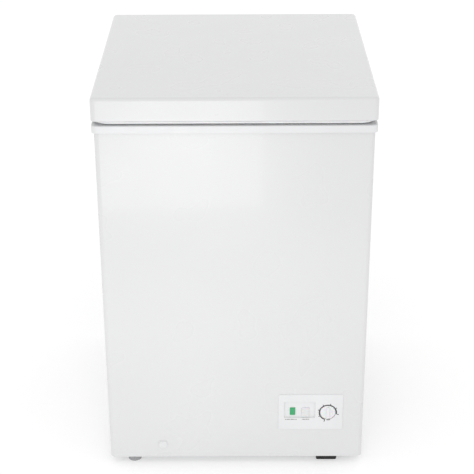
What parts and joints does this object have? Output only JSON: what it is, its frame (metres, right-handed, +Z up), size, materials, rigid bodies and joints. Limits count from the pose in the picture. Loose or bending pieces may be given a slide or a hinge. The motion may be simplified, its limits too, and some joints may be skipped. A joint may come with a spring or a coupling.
{
  "type": "chest freezer",
  "caption": "Compact white chest freezer with a lift-up lid, a control knob and lamps low on its front, a wire basket, a front drain and feet.",
  "frame": {"origin": "on the floor, in the middle of the whole object's box", "axes": "+Z up, -Y towards the front with the control panel, +X to the right of somebody facing the front"},
  "size_m": [0.56, 0.594, 0.85],
  "materials": {
    "white_paint": "gloss white baked enamel on sheet steel",
    "zinc_steel": "galvanised sheet steel, satin",
    "liner_plastic": "embossed white coated aluminium liner",
    "white_plastic": "injection moulded white plastic, semi gloss",
    "knob_plastic": "milky white plastic, slightly translucent",
    "green_lens": "green translucent lens",
    "clear_lens": "milky white translucent lens, unlit",
    "gasket_vinyl": "soft light grey vinyl",
    "foam": "rigid cream foam, foamed in place",
    "black_paint": "black paint on pressed steel",
    "black_rubber": "matt black rubber",
    "grey_plastic": "light grey moulded plastic",
    "black_plastic": "black moulded plastic",
    "copper_pipe": "bare copper pipe, dulled",
    "coated_pipe": "dark coated steel pipe",
    "aluminium_pipe": "bare aluminium pipe",
    "bright_steel": "zinc plated steel",
    "spring_steel": "dark spring wire",
    "coated_wire": "white plastic coated wire"
  },
  "bodies": {
    "cabinet": {"cabinet_wrapper": "white_paint", "back_panel": "zinc_steel", "bottom_pan": "zinc_steel", "machine_bay_wall": "zinc_steel", "compressor_tray": "zinc_steel", "rear_cover": "zinc_steel", "compressor": "black_paint", "compressor_grommets": "black_rubber", "compressor_bolts": "bright_steel", "start_relay_cover": "black_plastic", "condenser_coil": "coated_pipe", "evaporator_coil": "aluminium_pipe", "suction_line": "copper_pipe", "discharge_line": "copper_pipe", "filter_dryer": "copper_pipe", "capillary_tube": "copper_pipe", "process_tube": "copper_pipe", "drain_tube": "white_plastic", "foot_nuts": "bright_steel", "foot_pad_front": "black_rubber", "foot_pad_rear": "black_rubber", "pad_screws": "bright_steel", "control_panel_bezel": "white_plastic", "power_lamp_lens": "green_lens", "run_lamp_lens": "clear_lens", "lamp_holders": "black_plastic", "thermostat_body": "grey_plastic", "thermostat_sensor": "copper_pipe", "terminal_block": "white_plastic", "cord_inlet_gland": "black_plastic", "wiring_harness": "black_plastic", "rear_cover_screws": "bright_steel", "hinge_base_left": "bright_steel", "hinge_base_right": "bright_steel", "hinge_pin_left": "bright_steel", "hinge_pin_right": "bright_steel", "hinge_spring_left": "spring_steel", "hinge_spring_right": "spring_steel", "hinge_base_screws": "bright_steel", "inner_liner": "liner_plastic", "top_frame_trim": "white_plastic", "foam_insulation": "foam"},
    "lid": {"lid_outer_panel": "white_paint", "lid_inner_panel": "white_plastic", "lid_foam": "foam", "lid_gasket": "gasket_vinyl", "hinge_leaf_left": "bright_steel", "hinge_leaf_right": "bright_steel", "hinge_leaf_screws": "bright_steel"},
    "knob": {"thermostat_knob": "knob_plastic", "thermostat_spindle": "white_plastic"},
    "basket": {"basket_rim": "coated_wire", "basket_sides": "coated_wire", "basket_floor": "coated_wire"},
    "inner_plug": {"inner_drain_plug": "white_plastic"},
    "outer_cap": {"outer_drain_cap": "white_plastic"},
    "front_foot": {"levelling_foot_front": "grey_plastic"},
    "rear_foot": {"levelling_foot_rear": "grey_plastic"}
  },
  "joints": [
    {"name": "lid_hinge", "type": "hinge", "parent": "cabinet", "child": "lid", "pos_m": [0, 0.285, 0.781], "axis": [-1, 0, 0], "range_deg": [0, 80], "stiffness_Nm_per_rad": 3.5, "springref_deg": 91.67, "deforming": ["hinge_spring_left", "hinge_spring_right"]},
    {"name": "thermostat_turn", "type": "hinge", "parent": "cabinet", "child": "knob", "pos_m": [0.1986, -0.29, 0.131], "axis": [0, -1, 0], "range_deg": [-103, 161]},
    {"name": "basket_slide", "type": "slide", "parent": "cabinet", "child": "basket", "axis": [-1, 0, 0], "range_m": [0, 0.216]},
    {"name": "inner_plug_pull", "type": "slide", "parent": "cabinet", "child": "inner_plug", "axis": [0, 0, 1], "range_m": [0, 0.03]},
    {"name": "outer_cap_pull", "type": "slide", "parent": "cabinet", "child": "outer_cap", "axis": [0, -1, 0], "range_m": [0, 0.015]},
    {"name": "front_foot_screw", "type": "slide", "parent": "cabinet", "child": "front_foot", "axis": [0, 0, -1], "range_m": [0, 0.008]},
    {"name": "rear_foot_screw", "type": "slide", "parent": "cabinet", "child": "rear_foot", "axis": [0, 0, -1], "range_m": [0, 0.008]}
  ]
}
